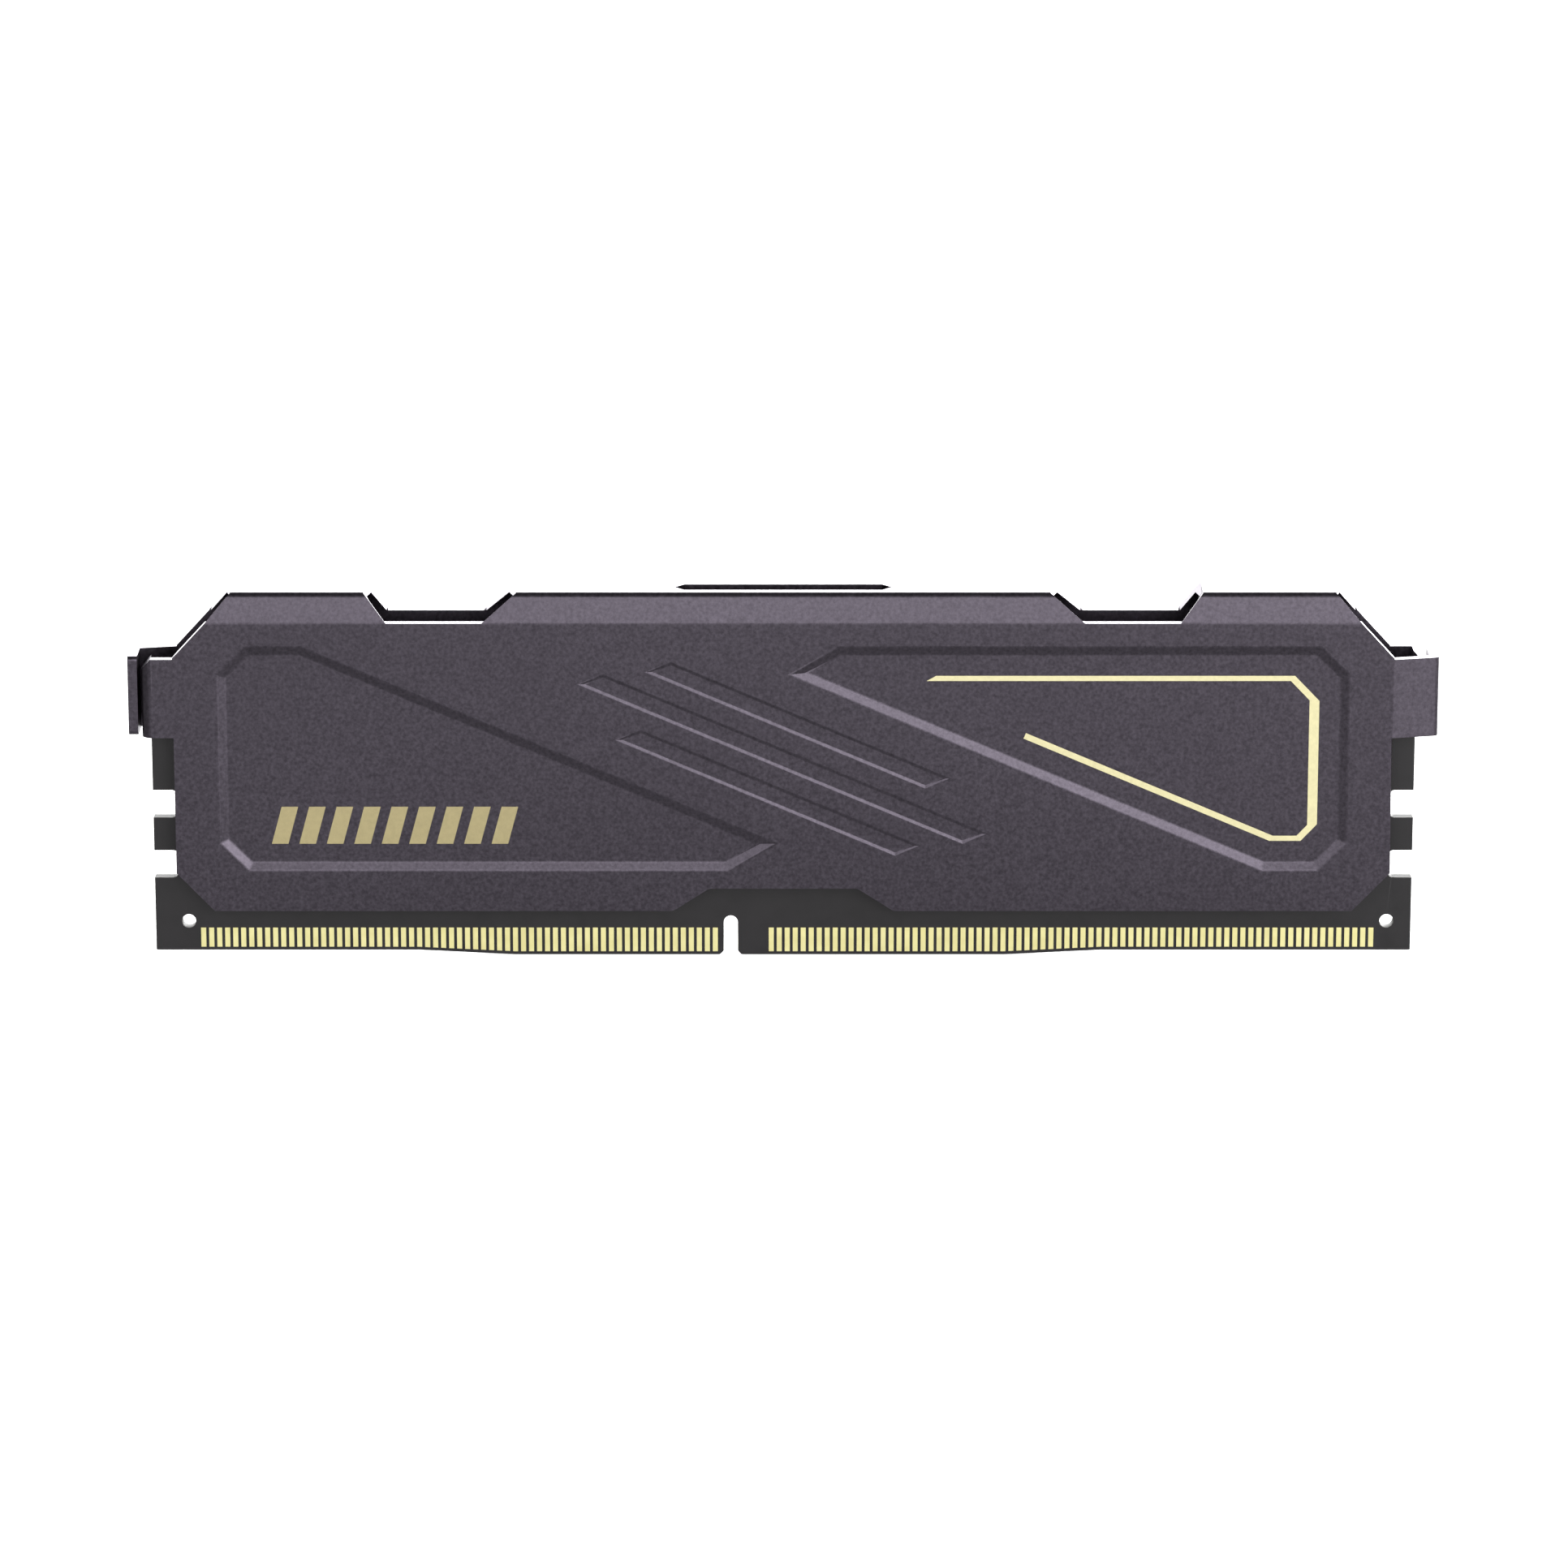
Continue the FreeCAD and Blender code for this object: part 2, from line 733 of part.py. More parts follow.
os.makedirs("parts", exist_ok=True)
for body in sub_parts:
    body.Shape.exportStep("parts/%s.step" % body.Label)
    print("%-28s %4d solids %10.2f mm3" % (body.Label, len(body.Shape.Solids), body.Shape.Volume))
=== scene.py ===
import math

import bmesh
import bpy
from mathutils import Matrix, Vector


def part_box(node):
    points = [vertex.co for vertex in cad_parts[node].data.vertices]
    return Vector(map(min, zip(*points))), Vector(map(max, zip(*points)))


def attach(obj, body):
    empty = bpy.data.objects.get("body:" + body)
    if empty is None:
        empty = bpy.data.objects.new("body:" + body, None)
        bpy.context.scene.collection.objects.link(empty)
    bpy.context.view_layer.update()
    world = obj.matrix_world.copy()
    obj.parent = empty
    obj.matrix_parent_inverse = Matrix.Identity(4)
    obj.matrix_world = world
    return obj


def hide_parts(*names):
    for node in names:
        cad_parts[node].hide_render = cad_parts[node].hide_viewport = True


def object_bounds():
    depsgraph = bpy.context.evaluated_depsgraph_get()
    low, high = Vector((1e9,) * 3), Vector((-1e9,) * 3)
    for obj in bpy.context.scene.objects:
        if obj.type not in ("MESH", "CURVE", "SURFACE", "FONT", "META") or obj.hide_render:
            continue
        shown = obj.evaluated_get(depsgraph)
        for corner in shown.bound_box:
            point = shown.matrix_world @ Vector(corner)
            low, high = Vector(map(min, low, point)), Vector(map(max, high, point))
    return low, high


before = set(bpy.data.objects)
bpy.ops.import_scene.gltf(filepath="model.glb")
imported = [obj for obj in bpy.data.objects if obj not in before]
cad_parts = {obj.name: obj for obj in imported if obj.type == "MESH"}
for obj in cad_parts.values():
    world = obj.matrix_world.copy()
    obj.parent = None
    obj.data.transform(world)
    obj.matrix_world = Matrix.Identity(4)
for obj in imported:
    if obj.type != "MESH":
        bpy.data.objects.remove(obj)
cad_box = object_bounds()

# A desktop memory module with a two-shell sheet heat spreader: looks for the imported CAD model.
# Metres throughout. X runs along the card, -Y is the front, Z points up from the contact edge.

MM = 0.001
SIDES = ("front", "rear")
BODY = "root"


# ---------------------------------------------------------------- places read from the frame

board_low, board_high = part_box("circuit_board")
shell_low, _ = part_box("heat_spreader_front")
module_centre = (cad_box[0] + cad_box[1]) / 2
FACE_Y = shell_low.y                    # the front shell's outer face
PANEL_DEPTH = 0.35 * MM                 # how far the pressed panels are sunk into that face
PRINT_THICK = 0.012 * MM                # how far a print stands out of its panel
PRINT_OUTER_Y = FACE_Y + PANEL_DEPTH - PRINT_THICK
PRINT_INNER_Y = PRINT_OUTER_Y + PRINT_THICK * 1.5


# ---------------------------------------------------------------- material helpers

def set_inputs(node, settings):
    for socket, value in settings.items():
        node.inputs[socket].default_value = value


def start_material(name, base, roughness, metallic=0.0, specular=0.5):
    """A material whose uniform values sit on its shader's own sockets."""
    material = bpy.data.materials.new(name)
    material.use_nodes = True
    shader = material.node_tree.nodes["Principled BSDF"]
    set_inputs(shader, {
        "Base Color": (*base, 1.0),
        "Roughness": roughness,
        "Metallic": metallic,
        "Specular IOR Level": specular,
    })
    return material, shader


def add_node(material, kind, settings=None, **properties):
    node = material.node_tree.nodes.new(kind)
    for key, value in properties.items():
        setattr(node, key, value)
    set_inputs(node, settings or {})
    return node


def join(material, source, target):
    material.node_tree.links.new(source, target)


def object_point(material, stretch=(1.0, 1.0, 1.0)):
    """The place on the piece in metres, squeezed or stretched per axis."""
    place = add_node(material, "ShaderNodeTexCoord")
    mapping = add_node(material, "ShaderNodeMapping")
    mapping.inputs["Scale"].default_value = stretch
    join(material, place.outputs["Object"], mapping.inputs["Vector"])
    return mapping.outputs["Vector"]


def noise(material, point, size, detail=2.0, roughness=0.5):
    """Noise whose lumps are about size metres across."""
    texture = add_node(material, "ShaderNodeTexNoise",
                       {"Scale": 1.0 / size, "Detail": detail, "Roughness": roughness})
    join(material, point, texture.inputs["Vector"])
    return texture.outputs["Fac"]


def mapped(tree, value, before, after):
    """A value between the two numbers before becomes one between the two after, and no further."""
    node = tree.nodes.new("ShaderNodeMapRange")
    set_inputs(node, {"From Min": before[0], "From Max": before[1],
                      "To Min": after[0], "To Max": after[1]})
    tree.links.new(value, node.inputs["Value"])
    return node.outputs["Result"]


def spread(material, value, low, high, start=0.3, end=0.7):
    """A value from start to end becomes one from low to high. Noise mostly lies in 0.3 to 0.7."""
    return mapped(material.node_tree, value, (start, end), (low, high))


def mix_colour(material, share, first, second, blend="MIX"):
    """Mixes two colours, each a socket or three numbers."""
    node = add_node(material, "ShaderNodeMix", data_type="RGBA", blend_type=blend)
    join(material, share, node.inputs["Factor"])
    for socket, colour in ((node.inputs[6], first), (node.inputs[7], second)):
        if isinstance(colour, bpy.types.NodeSocket):
            join(material, colour, socket)
        else:
            socket.default_value = (*colour, 1.0)
    return node.outputs[2]


def add_bump(material, shader, height, depth, strength=1.0):
    bump = add_node(material, "ShaderNodeBump", {"Strength": strength, "Distance": depth})
    join(material, height, bump.inputs["Height"])
    join(material, bump.outputs["Normal"], shader.inputs["Normal"])


def scaled(colour, factor):
    return tuple(channel * factor for channel in colour)


# ---------------------------------------------------------------- materials

def anodised_sheet():
    """Dark grey dyed anodising on bead-blasted sheet: a fine sparkle of grains, faint clouds in the
    dye, and thinner dye along the cut edges."""
    base = (0.0775, 0.0680, 0.0840)
    material, shader = start_material("anodised_sheet", base, 0.33, metallic=1.0)
    point = object_point(material)
    grain = noise(material, point, 0.36 * MM, detail=3.0, roughness=0.65)
    cloud = noise(material, point, 14 * MM, detail=2.0)
    grainy = mix_colour(material, spread(material, grain, 0.0, 1.0),
                        scaled(base, 0.74), scaled(base, 1.3))
    cloudy = mix_colour(material, spread(material, cloud, 0.0, 0.16), grainy, scaled(base, 0.8))
    worn = add_node(material, "ShaderNodeAttribute", attribute_name="wear")
    wear = add_node(material, "ShaderNodeMath", operation="MULTIPLY")
    join(material, worn.outputs["Fac"], wear.inputs[0])
    join(material, spread(material, noise(material, point, 2.5 * MM), 0.1, 0.55), wear.inputs[1])
    colour = mix_colour(material, wear.outputs["Value"], cloudy, (0.20, 0.182, 0.21))
    join(material, colour, shader.inputs["Base Color"])
    join(material, spread(material, grain, 0.29, 0.37), shader.inputs["Roughness"])
    add_bump(material, shader, grain, 0.012 * MM, strength=0.5)
    return material


def solder_mask():
    """Satin black lacquer over the board's copper and weave."""
    base = (0.0078, 0.0066, 0.0078)
    material, shader = start_material("solder_mask", base, 0.45, specular=0.42)
    point = object_point(material)
    lacquer = noise(material, point, 1.6 * MM, detail=3.0)
    weave = noise(material, object_point(material, (1.0, 1.0, 3.0)), 0.35 * MM)
    colour = mix_colour(material, spread(material, lacquer, 0.0, 1.0),
                        scaled(base, 0.85), scaled(base, 1.2))
    join(material, colour, shader.inputs["Base Color"])
    join(material, spread(material, lacquer, 0.42, 0.54), shader.inputs["Roughness"])
    add_bump(material, shader, weave, 0.004 * MM, strength=0.35)
    return material


def laminate_edge():
    """The routed edge of the board: black-brown glass epoxy, its plies showing as fine lines."""
    base = (0.016, 0.0145, 0.0125)
    material, shader = start_material("laminate_edge", base, 0.6, specular=0.35)
    plies = noise(material, object_point(material, (0.08, 6.0, 0.08)), 0.9 * MM, detail=1.0)
    fibres = noise(material, object_point(material), 0.12 * MM, detail=2.0)
    layered = mix_colour(material, spread(material, plies, 0.0, 1.0),
                         scaled(base, 0.6), scaled(base, 1.6))
    colour = mix_colour(material, spread(material, fibres, 0.0, 0.4),
                        layered, (0.028, 0.026, 0.022))
    join(material, colour, shader.inputs["Base Color"])
    add_bump(material, shader, fibres, 0.01 * MM, strength=0.5)
    return material


def contact_gold():
    """Hard gold plating with hairlines from being pushed into a socket."""
    base = (0.93, 0.86, 0.405)
    material, shader = start_material("contact_gold", base, 0.45, metallic=1.0)
    hairlines = noise(material, object_point(material, (1.0, 1.0, 0.04)), 0.07 * MM, detail=2.0)
    film = noise(material, object_point(material), 1.3 * MM, detail=2.0)
    colour = mix_colour(material, spread(material, film, 0.0, 1.0),
                        scaled(base, 0.95), (0.96, 0.90, 0.46))
    join(material, colour, shader.inputs["Base Color"])
    join(material, spread(material, hairlines, 0.4, 0.52), shader.inputs["Roughness"])
    add_bump(material, shader, hairlines, 0.002 * MM, strength=0.4)
    return material


def accent_print(name, base):
    """Screen-printed ink, faintly uneven, with the blasted sheet telegraphing through it."""
    material, shader = start_material(name, base, 0.5, specular=0.35)
    point = object_point(material)
    grain = noise(material, point, 0.42 * MM, detail=3.0, roughness=0.6)
    colour = mix_colour(material, spread(material, grain, 0.0, 1.0),
                        scaled(base, 0.93), scaled(base, 1.04))
    join(material, colour, shader.inputs["Base Color"])
    join(material, spread(material, grain, 0.42, 0.58), shader.inputs["Roughness"])
    add_bump(material, shader, grain, 0.01 * MM, strength=0.3)
    return material


def moulding_compound():
    """Matt black epoxy with filler specks."""
    base = (0.018, 0.018, 0.019)
    material, shader = start_material("moulding_compound", base, 0.62, specular=0.4)
    specks = noise(material, object_point(material), 0.09 * MM, detail=3.0)
    colour = mix_colour(material, spread(material, specks, 0.0, 1.0),
                        scaled(base, 0.75), scaled(base, 1.5))
    join(material, colour, shader.inputs["Base Color"])
    add_bump(material, shader, specks, 0.01 * MM, strength=0.6)
    return material


def package_substrate():
    """The chip carrier under the moulded cap, green lacquer on thin laminate."""
    base = (0.012, 0.05, 0.022)
    material, shader = start_material("package_substrate", base, 0.4)
    plies = noise(material, object_point(material), 0.3 * MM)
    colour = mix_colour(material, spread(material, plies, 0.0, 1.0),
                        scaled(base, 0.7), scaled(base, 1.3))
    join(material, colour, shader.inputs["Base Color"])
    return material


def tinned_end():
    """Reflowed tin over the end caps, a little frosted."""
    base = (0.62, 0.62, 0.6)
    material, shader = start_material("tinned_end", base, 0.34, metallic=1.0)
    frost = noise(material, object_point(material), 0.11 * MM, detail=3.0)
    colour = mix_colour(material, spread(material, frost, 0.0, 1.0),
                        scaled(base, 0.85), scaled(base, 1.1))
    join(material, colour, shader.inputs["Base Color"])
    join(material, spread(material, frost, 0.26, 0.46), shader.inputs["Roughness"])
    add_bump(material, shader, frost, 0.008 * MM, strength=0.4)
    return material


def fired_ceramic(name, base, gloss):
    material, shader = start_material(name, base, gloss)
    grain = noise(material, object_point(material), 0.14 * MM, detail=3.0)
    colour = mix_colour(material, spread(material, grain, 0.0, 1.0),
                        scaled(base, 0.82), scaled(base, 1.18))
    join(material, colour, shader.inputs["Base Color"])
    add_bump(material, shader, grain, 0.006 * MM, strength=0.4)
    return material


def silicone_pad():
    """Soft filled silicone: dull, faintly mottled, with a fine cloth-like liner print."""
    base = (0.46, 0.48, 0.5)
    material, shader = start_material("silicone_pad", base, 0.78, specular=0.3)
    point = object_point(material)
    filler = noise(material, point, 0.5 * MM, detail=4.0)
    colour = mix_colour(material, spread(material, filler, 0.0, 1.0),
                        scaled(base, 0.9), scaled(base, 1.08))
    join(material, colour, shader.inputs["Base Color"])
    liner = noise(material, point, 0.25 * MM, detail=2.0)
    add_bump(material, shader, liner, 0.02 * MM, strength=0.5)
    return material


SHEET = anodised_sheet()
MASK = solder_mask()
LAMINATE = laminate_edge()
GOLD = contact_gold()
ACCENT = accent_print("accent_line_ink", (0.57, 0.525, 0.30))
ACCENT_DULL = accent_print("accent_bar_ink", (0.30, 0.253, 0.125))
MOULDING = moulding_compound()
SUBSTRATE = package_substrate()
TIN = tinned_end()
CAPACITOR_BODY = fired_ceramic("capacitor_body", (0.33, 0.22, 0.13), 0.45)
RESISTOR_BODY = fired_ceramic("resistor_body", (0.03, 0.03, 0.032), 0.3)
SILICONE = silicone_pad()


# ---------------------------------------------------------------- mesh helpers

WELD_WITHIN = 0.002 * MM                # points of a CAD mesh this close together are one
FLAT_WITHIN = math.radians(0.5)         # faces this near to one plane are joined
SHARP = 35.0                            # degrees between the faces at a cut edge, or more
SQUARE = 60.0                           # and at the board's rims


def even_normals(piece):
    """Shades rounded edges smoothly and leaves the flats flat."""
    modifier = piece.modifiers.new("even_normals", "WEIGHTED_NORMAL")
    modifier.mode = "FACE_AREA"
    modifier.weight = 100
    modifier.keep_sharp = True


def piece_from(work, name, materials, replaced=(), smooth=True):
    """Ends the mesh work: makes the object, gives it its materials and lets it ride on the
    module."""
    bmesh.ops.recalc_face_normals(work, faces=work.faces)
    mesh = bpy.data.meshes.new(name)
    work.to_mesh(mesh)
    work.free()
    for material in materials:
        mesh.materials.append(material)
    if smooth:
        mesh.shade_smooth()
    piece = bpy.data.objects.new(name, mesh)
    bpy.context.scene.collection.objects.link(piece)
    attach(piece, BODY)
    if replaced:
        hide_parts(*replaced)
    if smooth:
        even_normals(piece)
    return piece


def welded_copy(node):
    """A CAD node's mesh with its points joined and its flat faces whole."""
    work = bmesh.new()
    work.from_mesh(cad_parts[node].data)
    bmesh.ops.remove_doubles(work, verts=work.verts, dist=WELD_WITHIN)
    bmesh.ops.dissolve_limit(work, angle_limit=FLAT_WITHIN, verts=work.verts, edges=work.edges)
    return work


def edge_angle(edge):
    """Degrees between an edge's faces, and 0 where it has only one."""
    return math.degrees(edge.calc_face_angle(0.0))


def soften(work, edges, width, segments=2):
    """Rounds the edges and returns the new faces."""
    made = bmesh.ops.bevel(work, geom=edges, offset=width, offset_type="OFFSET",
                           segments=segments, profile=0.5, affect="EDGES", clamp_overlap=True)
    return made["faces"]


def add_box(work, low, high, material=0):
    """A closed box between two corners. Returns its faces."""
    made = bmesh.ops.create_cube(work, size=1.0)
    low, high = Vector(low), Vector(high)
    size = high - low
    middle = (low + high) / 2
    for corner in made["verts"]:
        x, y, z = corner.co
        corner.co = Vector((x * size.x, y * size.y, z * size.z)) + middle
    faces = {face for corner in made["verts"] for face in corner.link_faces}
    for face in faces:
        face.material_index = material
    return list(faces)


def add_soft_box(work, low, high, radius, material=0, segments=2):
    """A closed box with all its edges rounded."""
    faces = add_box(work, low, high, material)
    edges = {edge for face in faces for edge in face.edges}
    for face in soften(work, list(edges), radius, segments):
        face.material_index = material


def turn_to_rear(work):
    """Half a turn about the vertical axis."""
    half_turn = Matrix.Rotation(math.pi, 3, "Z")
    bmesh.ops.rotate(work, verts=work.verts, cent=(0, 0, 0), matrix=half_turn)


# ---------------------------------------------------------------- heat spreader

CUT_EDGE_ROUND = 0.07 * MM
BEVEL_END_ROUND = 0.025 * MM            # the ends of the leaning bevel are cut crisper
CREASE_Z = 36.95 * MM                   # the bevel starts at about this height
PANEL_EDGE_ROUND = 0.16 * MM
STRIPE_EDGE_ROUND = 0.07 * MM
PANEL, STRIPE = 1, 2                    # the two kinds of pressed edge
STRIPE_DEPTHS = (0.02 * MM, 0.2 * MM)   # what a stripe's wall spans in Y; a panel's spans more
SLANTED = 0.2 * MM                      # how far along X, and along Z, a slanted edge runs
PRESSED = (5.0, 34.0)                   # degrees between the faces at a pressed edge
PANEL_TOP_Z = 35.0 * MM                 # every pressed edge is below this
PRESSED_HALF = 65.0 * MM                # and no further than this from the middle


def is_pressed_edge(edge):
    """An edge of the pressed panels, the stripes or the hook's root, on the sheet's either side."""
    if not PRESSED[0] < edge_angle(edge) < PRESSED[1]:
        return False
    return all(corner.co.z < PANEL_TOP_Z and abs(corner.co.x) < PRESSED_HALF
               for corner in edge.verts)


def is_stripe_edge(edge):
    """An edge of a wall that spans only the stripes' small depth."""
    for face in edge.link_faces:
        depths = [corner.co.y for corner in face.verts]
        if STRIPE_DEPTHS[0] < max(depths) - min(depths) < STRIPE_DEPTHS[1]:
            return True
    return False


def is_bevel_end(edge):
    """A slanted edge at one of the leaning bevel's ends."""
    a, b = [corner.co for corner in edge.verts]
    return (min(a.z, b.z) > CREASE_Z
            and abs(a.z - b.z) > SLANTED and abs(a.x - b.x) > SLANTED)


def heat_spreader(side):
    """The CAD shell with its pressed edges rounded, then its cut edges, where the dye is worn."""
    node = "heat_spreader_" + side
    work = welded_copy(node)
    wear = work.faces.layers.float.new("wear")
    pressed = work.edges.layers.int.new("pressed")
    for edge in work.edges:
        if is_pressed_edge(edge):
            edge[pressed] = STRIPE if is_stripe_edge(edge) else PANEL
    for kind, width in ((PANEL, PANEL_EDGE_ROUND), (STRIPE, STRIPE_EDGE_ROUND)):
        soften(work, [edge for edge in work.edges if edge[pressed] == kind], width)
    bevel_ends = [edge for edge in work.edges if edge_angle(edge) > SHARP and is_bevel_end(edge)]
    soften(work, bevel_ends, BEVEL_END_ROUND)
    cut_edges = [edge for edge in work.edges if edge_angle(edge) > SHARP]
    for face in soften(work, cut_edges, CUT_EDGE_ROUND):
        face[wear] = 1.0
    piece_from(work, "spreader_shell_" + side, [SHEET], [node])


# ---------------------------------------------------------------- circuit board and its contacts

BOARD_EDGE_ROUND = 0.05 * MM
CONTACT_EDGE_CHAMFER = 0.07 * MM
CONTACT_EDGE_RISE = 0.55 * MM           # the most that the bowed contact edge rises to its ends
ON_FACE = 0.01 * MM                     # a point this near to the board's face is on it
CONTACT_RIM = 0.02 * MM


def circuit_board():
    """The laminate: lacquer on the faces, bare plies on the routed edges, and a chamfer where it
    plugs in."""
    work = welded_copy("circuit_board")

    def is_plug_edge(edge):
        return all(corner.co.z < board_low.z + CONTACT_EDGE_RISE
                   and abs(abs(corner.co.y) - board_high.y) < ON_FACE for corner in edge.verts)

    plug_edges = [edge for edge in work.edges if edge_angle(edge) > SHARP and is_plug_edge(edge)]
    soften(work, plug_edges, CONTACT_EDGE_CHAMFER, segments=1)
    rims = [edge for edge in work.edges if edge_angle(edge) > SQUARE]
    soften(work, rims, BOARD_EDGE_ROUND)
    work.normal_update()
    for face in work.faces:
        faces_out = abs(face.normal.y) > 0.5
        face.material_index = 0 if faces_out else 1
    piece_from(work, "board_laminate", [MASK, LAMINATE], ["circuit_board"])


def contacts():
    """The CAD contacts keep their shape and gain rounded rims."""
    for side in SIDES:
        for half in ("left", "right"):
            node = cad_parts["contacts_%s_%s" % (half, side)]
            node.data.materials.clear()
            node.data.materials.append(GOLD)
            weld = node.modifiers.new("weld", "WELD")
            weld.merge_threshold = WELD_WITHIN
            rim = node.modifiers.new("rim", "BEVEL")
            rim.width = CONTACT_RIM
            rim.segments = 2
            rim.limit_method = "ANGLE"
            rim.harden_normals = False
            even_normals(node)


# ---------------------------------------------------------------- printed accents

# The accent line's corners, in millimetres right of the middle and above the contact edge, and the
# widths of its runs: level, slanted corner, upright, slanted corner, level and diagonal.
LINE_CORNERS = [
    (15.55, 30.9), (53.5, 30.9), (55.8, 28.5), (55.8, 15.0), (54.4, 13.5), (51.5, 13.5),
    (25.4, 24.68),
]
LINE_WIDTHS = [0.56 * MM, 0.7 * MM, 1.03 * MM, 0.7 * MM, 0.56 * MM, 0.65 * MM]
LINE_START_SLANT = 0.5 * MM

BAR_COUNT = 9
BARS_LEFT = -54.0 * MM
BARS_LOW = 12.9 * MM
BARS_HIGH = 16.95 * MM
BAR_PITCH = 2.9 * MM
BAR_WIDTH = 1.75 * MM
BAR_LEAN = 1.1 * MM


def crossing(a, b, c, d):
    """Where the line through a and b meets the line through c and d."""
    r = b - a
    s = d - c
    along = ((c - a).x * s.y - (c - a).y * s.x) / (r.x * s.y - r.y * s.x)
    return a + r * along


def ribbon(points, widths, start_slant=0.0):
    """The outline of a bent ribbon: a width per run, mitred at its corners, its start cut on a
    slant. Returns the pairs of places across it, left and right."""
    runs = []
    for k, width in enumerate(widths):
        a, b = Vector(points[k]), Vector(points[k + 1])
        side = Vector((-(b - a).y, (b - a).x)).normalized() * width / 2
        runs.append((a, b, side))
    edges = []
    for sign in (1.0, -1.0):
        a, b, side = runs[0]
        slant = (b - a).normalized() * start_slant * sign
        line = [a + side * sign + slant]
        for (a, b, side), (c, d, after) in zip(runs, runs[1:]):
            line.append(crossing(a + side * sign, b + side * sign,
                                 c + after * sign, d + after * sign))
        a, b, side = runs[-1]
        line.append(b + side * sign)
        edges.append(line)
    return list(zip(edges[0], edges[1]))


def add_film(work, rungs):
    """A closed thin film on the panel's face, given as pairs of X and Z points across it."""
    depth = (PRINT_OUTER_Y, PRINT_INNER_Y)
    rings = []
    for left, right in rungs:
        rings.append([work.verts.new((spot.x, y, spot.y)) for y in depth for spot in (left, right)])
    for (a, b, c, d), (e, f, g, h) in zip(rings, rings[1:]):
        for corners in ((a, b, f, e), (c, g, h, d), (a, e, g, c), (b, d, h, f)):
            work.faces.new(corners)
    for ring in (rings[0], rings[-1]):
        a, b, c, d = ring
        work.faces.new((a, c, d, b))


def print_from(work, name, side, ink):
    """Ends the mesh work of a print, which is drawn for the front."""
    if side == "rear":
        turn_to_rear(work)
    piece_from(work, name + side, [ink], smooth=False)


def accent_line(side):
    """The pale line that runs round three sides of the right-hand panel."""
    places = [(x * MM, z * MM) for x, z in LINE_CORNERS]
    work = bmesh.new()
    add_film(work, ribbon(places, LINE_WIDTHS, LINE_START_SLANT))
    print_from(work, "accent_line_", side, ACCENT)


def accent_bars(side):
    """A plain row of equal slanted bars in the lower corner of the left-hand panel."""
    work = bmesh.new()
    for k in range(BAR_COUNT):
        foot = BARS_LEFT + BAR_PITCH * k
        head = foot + BAR_LEAN
        add_film(work, [
            (Vector((foot, BARS_LOW)), Vector((foot + BAR_WIDTH, BARS_LOW))),
            (Vector((head, BARS_HIGH)), Vector((head + BAR_WIDTH, BARS_HIGH))),
        ])
    print_from(work, "accent_bars_", side, ACCENT_DULL)


# ---------------------------------------------------------------- parts on the board

CARRIER_THICK = 0.25 * MM               # a chip's carrier, under its moulded cap
CARRIER_ROUND = 0.03 * MM
CAP_INSET = 0.2 * MM
CAP_ROUND = 0.08 * MM
MARK_RADIUS = 0.45 * MM                 # the mark, a flat disc, at a chip's first corner
MARK_HEIGHT = 0.02 * MM
MARK_INSET = 1.1 * MM

SMALL_CHIP_LIFT = 0.03 * MM             # the presence-detect memory stands this far off the board
SMALL_CHIP_ROUND = 0.05 * MM
SMALL_CHIP_PADS = 4                     # down each side
SMALL_PAD_HALF = (0.12 * MM, 0.13 * MM)
SMALL_PAD_HEIGHT = 0.2 * MM
SMALL_PAD_ROUND = 0.02 * MM

CERAMIC_ROUND = 0.03 * MM               # the blocks and terminals of capacitors and resistors
CERAMIC_INSET = 0.02 * MM               # a capacitor's block lies this far inside its ends
END_ROUND = 0.05 * MM

NETWORK_LENGTH = 2.0 * MM
NETWORK_PITCH = 3.0 * MM
NETWORK_WAYS = 4
NETWORK_RIM = 0.04 * MM                 # the glazed block lies this far inside its terminals
TERMINAL_HALF = 0.14 * MM
TERMINAL_DEPTH = 0.22 * MM


def outward(side):
    """+1 where a part's outward direction is +Y, on the rear, and -1 on the front."""
    return -1.0 if side == "front" else 1.0


def levels(node, side):
    """(Y at the board, Y at the part's top) for a part that stands on one face of the board."""
    low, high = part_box(node)
    return (high.y, low.y) if side == "front" else (low.y, high.y)


def add_slab(work, x_range, y_pair, z_range, radius, material):
    low = (x_range[0], min(y_pair), z_range[0])
    high = (x_range[1], max(y_pair), z_range[1])
    add_soft_box(work, low, high, radius, material)


def memory_chip(side, number):
    """A ball-grid package: green carrier, moulded cap set in from it, and a mark at one corner."""
    node = "memory_chip_%s_%d" % (side, number)
    low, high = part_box(node)
    foot, top = levels(node, side)
    out = outward(side)
    carrier_top = foot + out * CARRIER_THICK
    work = bmesh.new()
    add_slab(work, (low.x, high.x), (foot, carrier_top), (low.z, high.z), CARRIER_ROUND, 1)
    add_slab(work, (low.x + CAP_INSET, high.x - CAP_INSET), (carrier_top, top),
             (low.z + CAP_INSET, high.z - CAP_INSET), CAP_ROUND, 0)
    place = Matrix.Translation((low.x + MARK_INSET, top, high.z - MARK_INSET))
    mark = bmesh.ops.create_cone(work, cap_ends=True, segments=20, radius1=MARK_RADIUS,
                                 radius2=MARK_RADIUS, depth=MARK_HEIGHT,
                                 matrix=place @ Matrix.Rotation(math.pi / 2, 4, "X"))
    for corner in mark["verts"]:
        for face in corner.link_faces:
            face.material_index = 0
    piece_from(work, "package_%s_%d" % (side, number), [MOULDING, SUBSTRATE],
               [node])


